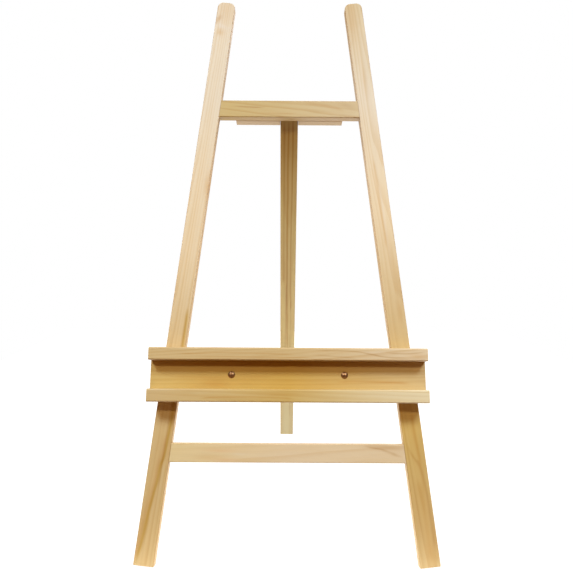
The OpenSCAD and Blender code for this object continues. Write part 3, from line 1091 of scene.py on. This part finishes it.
# x is to the right along a bar from its middle; y is up the face
TOP_BAR_MARKS = [
    Streak([(-0.155, 0.0065), (-0.10, 0.0045), (-0.055, 0.0035)], 0.0014, HEART, 0.6),
    Streak([(-0.075, -0.011), (-0.03, -0.013), (0.02, -0.014)], 0.0018, AMBER, 0.45),
    Streak([(0.03, 0.018), (0.08, 0.011), (0.12, 0.002), (0.15, -0.006)], 0.004, AMBER, 0.4),
    Patch((0.145, 0.010), (0.02, 0.008), BROWN, 0.3, -0.3),
]
LOW_BAR_MARKS = [
    Patch((-0.150, 0.005), (0.035, 0.004), PINK, 0.8),
    Patch((-0.175, -0.008), (0.045, 0.005), AMBER, 0.35),
    Patch((-0.135, -0.014), (0.03, 0.003), PINK, 0.8),
    Patch((-0.110, -0.002), (0.02, 0.003), CREAM, 0.5),
    Patch((0.215, 0.014), (0.045, 0.008), BROWN, 0.45, -0.12),
    Streak([(0.165, 0.019), (0.20, 0.010), (0.235, 0.000), (0.262, -0.008)], 0.0026, BROWN, 0.6),
]
UPPER_RAIL_MARKS = [
    Streak([(-0.25, 0.000), (-0.10, 0.001), (0.02, -0.001)], 0.0012, AMBER, 0.6),
    Streak([(-0.20, -0.0075), (-0.05, -0.007), (0.06, -0.009)], 0.0011, AMBER, 0.6),
    Streak([(0.06, 0.008), (0.14, 0.006), (0.19, 0.000), (0.23, -0.006), (0.27, -0.008)],
           0.0014, BROWN, 0.7),
    Streak([(0.05, -0.001), (0.10, -0.005), (0.16, -0.009)], 0.0013, BROWN, 0.5),
    Streak([(0.215, 0.009), (0.25, 0.002), (0.28, 0.003), (0.309, 0.010)], 0.0014, BROWN, 0.7),
    Patch((0.20, 0.004), (0.03, 0.004), CREAM, 0.6),
    Patch((0.285, -0.004), (0.02, 0.007), AMBER, 0.35),
]
LOWER_RAIL_MARKS = [
    Streak([(-0.22, 0.004), (-0.16, 0.006), (-0.10, 0.001), (-0.03, 0.003)], 0.003, CREAM, 0.6),
    Streak([(-0.20, -0.006), (-0.12, -0.003), (0.02, -0.007)], 0.0016, AMBER, 0.5),
    Patch((-0.02, 0.004), (0.06, 0.005), AMBER, 0.3),
    Patch((0.20, 0.004), (0.09, 0.012), CREAM, 0.45),
]
BOARD_MARKS = [
    Streak([(0.13, 0.004), (0.20, 0.005), (0.30, 0.007)], 0.006, CREAM, 0.8, 0.08),
    Streak([(-0.31, -0.003), (-0.15, -0.005), (0.0, -0.002)], 0.003, AMBER, 0.35, 0.08),
    Patch((-0.165, -0.022), (0.035, 0.012), AMBER, 0.5),
    Streak([(0.10, -0.016), (0.18, -0.014), (0.28, -0.018)], 0.003, AMBER, 0.5),
    Patch((-0.27, 0.0), (0.04, 0.05), CREAM, 0.4),
]
# x is up the rear leg from its pin; y is to the left as seen from the front
REAR_LEG_MARKS = [
    Streak([(-0.75, -0.002), (-0.50, 0.003), (-0.25, 0.003), (0.0, 0.001)], 0.0028, HEART, 0.8),
    Streak([(-0.60, -0.009), (-0.35, -0.008), (-0.15, -0.010), (0.0, -0.009)], 0.0022, HEART, 0.7),
    Streak([(-0.50, 0.013), (-0.25, 0.012), (0.0, 0.013)], 0.0030, HEART, 0.55),
    Streak([(-0.95, 0.009), (-0.62, 0.006), (-0.48, 0.003)], 0.0020, BROWN, 0.6),
    Streak([(-1.05, -0.010), (-0.75, -0.008), (-0.55, -0.009)], 0.0016, BROWN, 0.5),
]

# Shades of the timber, from the palest stretches to the darkest
BRIGHT = srgb(225, 205, 165)
PALE = srgb(215, 190, 155)
BUTTER = srgb(215, 190, 140)
ROSY = srgb(205, 185, 160)
STRAW = srgb(200, 170, 120)
HONEY = srgb(200, 165, 95)
GOLDEN = srgb(195, 155, 75)
SAND = srgb(190, 165, 125)
WHEAT = srgb(190, 170, 115)
TAWNY = srgb(180, 150, 90)
# DUSK serves as painted shade at the rear leg's foot
DUSK = srgb(170, 155, 115)

# Shades along each length of timber
LEFT_LEG_TONES = [(0.0, STRAW), (0.4, STRAW), (0.7, PALE), (1.1, ROSY)]
RIGHT_LEG_TONES = [(0.0, STRAW), (0.3, HONEY), (0.5, STRAW), (0.8, PALE), (1.1, ROSY), (1.4, SAND)]
TOP_BAR_TONES = [(-0.15, TAWNY), (0.15, SAND)]
LOW_BAR_TONES = [(-0.3, BUTTER), (0.0, PALE)]
RAIL_TONES = [(-0.3, STRAW), (0.0, STRAW), (0.3, PALE)]
LOWER_RAIL_TONES = [(-0.3, STRAW), (0.0, HONEY), (0.3, BRIGHT)]
BOARD_TONES = [(-0.3, HONEY), (0.0, GOLDEN), (0.3, STRAW)]
# The darker DUSK at the rear leg's foot is painted shade, offsetting the floor's light there
REAR_LEG_TONES = [(-1.1, DUSK), (-0.7, WHEAT), (-0.3, WHEAT), (0.0, TAWNY)]
# The cheeks' darker shade is painted shade, standing in for the shade under them
CHEEK_TONES = [(0.0, SAND)]
BLOCK_TONES = [(0.0, STRAW)]

front_leg("left", pine("pine_leg_left", leg_place(-1), LEG_HALF, 1, LEFT_LEG_TONES,
                       pith=(0.03, -0.045), marks=LEFT_LEG_MARKS))
front_leg("right", pine("pine_leg_right", leg_place(1), LEG_HALF, 2, RIGHT_LEG_TONES,
                        pith=(-0.01, -0.05), drift=(-0.01, 0.025), marks=RIGHT_LEG_MARKS))
crossbar("top_bar", "upper_crossbar", UPPER_BAR,
         pine("pine_top_bar", bar_place(UPPER_BAR), TOP_BAR_HALF, 3, TOP_BAR_TONES, pith=(0.03, -0.06),
              drift=(-0.12, 0.0), marks=TOP_BAR_MARKS), screw_holes(CHEEK_SCREWS))
crossbar("low_bar", "lower_crossbar", LOWER_BAR,
         pine("pine_low_bar", bar_place(LOWER_BAR), LOW_BAR_HALF, 4, LOW_BAR_TONES, pith=(-0.02, -0.07),
              drift=(0.012, 0.02), lines=0.28, bands=0.4, marks=LOW_BAR_MARKS))
dowels("top_dowels", "upper_crossbar_dowels", UPPER_BAR)
dowels("low_dowels", "lower_crossbar_dowels", LOWER_BAR)
for side_name, side in SIDES.items():
    cheek(side_name, pine("pine_cheek_" + side_name, cheek_place(side), CHEEK_HALF, 7 + side,
                          CHEEK_TONES, pith=(0.04 * side, -0.03)))
screws("cheek_screw_set", "cheek_screws", "front_frame", CHEEK_SCREWS)
rear_leg(pine("pine_rear_leg", REAR_PLACE, LEG_HALF, 11, REAR_LEG_TONES, pith=(0.002, -0.06),
              drift=(0.0, 0.01), ring=0.0045, lines=0.7, marks=REAR_LEG_MARKS))
pivot_pin()
back_board(pine("pine_board", board_place(), BOARD_HALF, 12, BOARD_TONES, pith=(-0.14, -0.05),
                ring=0.0075, lines=0.45, marks=BOARD_MARKS))
rail("upper_rail", "tray_upper_rail", TRAY_Y + TRAY_H - RAIL_H,
     pine("pine_upper_rail", rail_place(TRAY_Y + TRAY_H - RAIL_H), RAIL_HALF, 13, RAIL_TONES,
          pith=(-0.05, -0.04), drift=(0.08, 0.0), marks=UPPER_RAIL_MARKS))
rail("lower_rail", "tray_lower_rail", TRAY_Y,
     pine("pine_lower_rail", rail_place(TRAY_Y), RAIL_HALF, 14, LOWER_RAIL_TONES,
          pith=(0.03, -0.05), drift=(0.02, 0.03), marks=LOWER_RAIL_MARKS))
screws("rail_screw_set", "tray_rail_screws", "tray", RAIL_SCREWS)
for side_name, side in SIDES.items():
    carriage_bolt(side_name)
    clamp_block(side_name, pine("pine_block_" + side_name, block_place(side), BLOCK_HALF, 16 + side,
                                BLOCK_TONES, pith=(0.03, -0.06)))
    washer(side_name)
    wing_nut(side_name)


# ---- camera, lights and floor ----
# The camera stands in front of the tray and looks slightly down
LENS_MM = 33.49
SENSOR_MM = 36
CAMERA_AT = (-0.0061, -1.4820, 0.7248)
CAMERA_PITCH = radians(5.77)
CAMERA_HEADING = radians(0.07)
CAMERA_ROLL = radians(0.3546)

# Lamps as direction from the tray, distance, size, power and colour
COOL = (0.82, 1.03, 1.20)
WARM = (1.0, 0.88, 0.56)
NEUTRAL = (1.0, 1.0, 1.0)
LAMP_PAIRS = {
    "key": ((19, -16.9, 33.2), 4.5, 1.0, 122, COOL),
    "front_fill": ((10.5, -19.2, 17.3), 4.5, 0.5, 35, WARM),
    "side_fill": ((30, 9, 8), 4.5, 1.6, 75, NEUTRAL),
}
BACK_FILL = ((4, 24, 20), 4.0, 1.8, 30, NEUTRAL)

# The world as the camera sees it, and as it lights the easel
WORLD_SEEN = (1, 1, 1, 1)
WORLD_LIGHT = (1.0, 0.40, 0.125, 1)
WORLD_SEEN_STRENGTH = 1.0
WORLD_LIGHT_STRENGTH = 0.185

FLOOR_CORNERS = (-1.6, 1.6, -0.50, 2.4)
FLOOR_DROP = 0.0002
FLOOR_GREY = (0.88, 0.88, 0.88, 1)
FLOOR_ROUGHNESS = 0.9
FLOOR_BOUNCE = (1.0, 0.95, 0.86, 1)
FLOOR_BOUNCE_STRENGTH = 0.7
FLOOR_GLOW = 1.15
FLOOR_GLOW_SHARE = 0.75


def camera():
    """A camera in front of the easel, at about the height of its middle."""
    data = bpy.data.cameras.new("camera")
    data.sensor_width = SENSOR_MM
    data.lens = LENS_MM
    made = bpy.data.objects.new("camera", data)
    scene.collection.objects.link(made)
    made.location = CAMERA_AT
    turn = Matrix.Rotation(-CAMERA_HEADING, 4, "Z") @ Matrix.Rotation(pi / 2 - CAMERA_PITCH, 4, "X")
    made.rotation_euler = (turn @ Matrix.Rotation(CAMERA_ROLL, 4, "Z")).to_euler()
    scene.camera = made


def lamp(name, direction, distance, size, power, colour):
    """A square soft light that faces the tray."""
    target = on_frame(0, BOLT_Y)
    data = bpy.data.lights.new(name, "AREA")
    data.size = size
    data.energy = power
    data.color = colour
    made = bpy.data.objects.new(name, data)
    scene.collection.objects.link(made)
    away = Vector(direction).normalized()
    made.location = target + away * distance
    made.rotation_euler = away.to_track_quat("Z", "Y").to_euler()


def lamps():
    """Pairs of lamps to the left and right, and one behind."""
    for side in SIDES.values():
        for name, (direction, *rest) in LAMP_PAIRS.items():
            lamp(name, (side * direction[0], *direction[1:]), *rest)
    lamp("back_fill", *BACK_FILL)


def floor_material():
    """Pale grey that lights the easel a little from below, and looks nearly white to the camera."""
    net = Net("floor")
    net.colour(FLOOR_GREY)
    net.set("Roughness", FLOOR_ROUGHNESS)
    net.set("Emission Color", FLOOR_BOUNCE)
    net.set("Emission Strength", FLOOR_BOUNCE_STRENGTH)
    glow = net.node("ShaderNodeEmission")
    net.link(FLOOR_GLOW, glow.inputs["Strength"])
    mix = net.node("ShaderNodeMixShader")
    path = net.node("ShaderNodeLightPath")
    seen = net.math("MULTIPLY", path.outputs["Is Camera Ray"], FLOOR_GLOW_SHARE)
    net.link(seen, mix.inputs[0])
    net.link(net.shader.outputs[0], mix.inputs[1])
    net.link(glow.outputs[0], mix.inputs[2])
    net.link(mix.outputs[0], net.tree.nodes["Material Output"].inputs["Surface"])
    return net.material


def floor():
    """A plain floor just under the feet."""
    bm = bmesh.new()
    bm.faces.new([bm.verts.new((x, y, 0)) for x, y in rect(*FLOOR_CORNERS)])
    piece = new_object("floor", bm)
    piece.location.z = -FLOOR_DROP
    piece.data.materials.append(floor_material())


def surroundings():
    """White behind everything, and a low even light from all round."""
    world = bpy.data.worlds.new("studio")
    world.use_nodes = True
    tree = world.node_tree
    backdrop = tree.nodes["Background"]
    path = tree.nodes.new("ShaderNodeLightPath")
    strength = tree.nodes.new("ShaderNodeMapRange")
    strength.inputs["To Min"].default_value = WORLD_LIGHT_STRENGTH
    strength.inputs["To Max"].default_value = WORLD_SEEN_STRENGTH
    tree.links.new(path.outputs["Is Camera Ray"], strength.inputs["Value"])
    tree.links.new(strength.outputs[0], backdrop.inputs["Strength"])
    tint = tree.nodes.new("ShaderNodeMix")
    tint.data_type = "RGBA"
    tint.inputs[6].default_value = WORLD_LIGHT
    tint.inputs[7].default_value = WORLD_SEEN
    tree.links.new(path.outputs["Is Camera Ray"], tint.inputs["Factor"])
    tree.links.new(tint.outputs[2], backdrop.inputs["Color"])
    scene.world = world


camera()
lamps()
floor()
surroundings()
scene.view_settings.view_transform = "Standard"
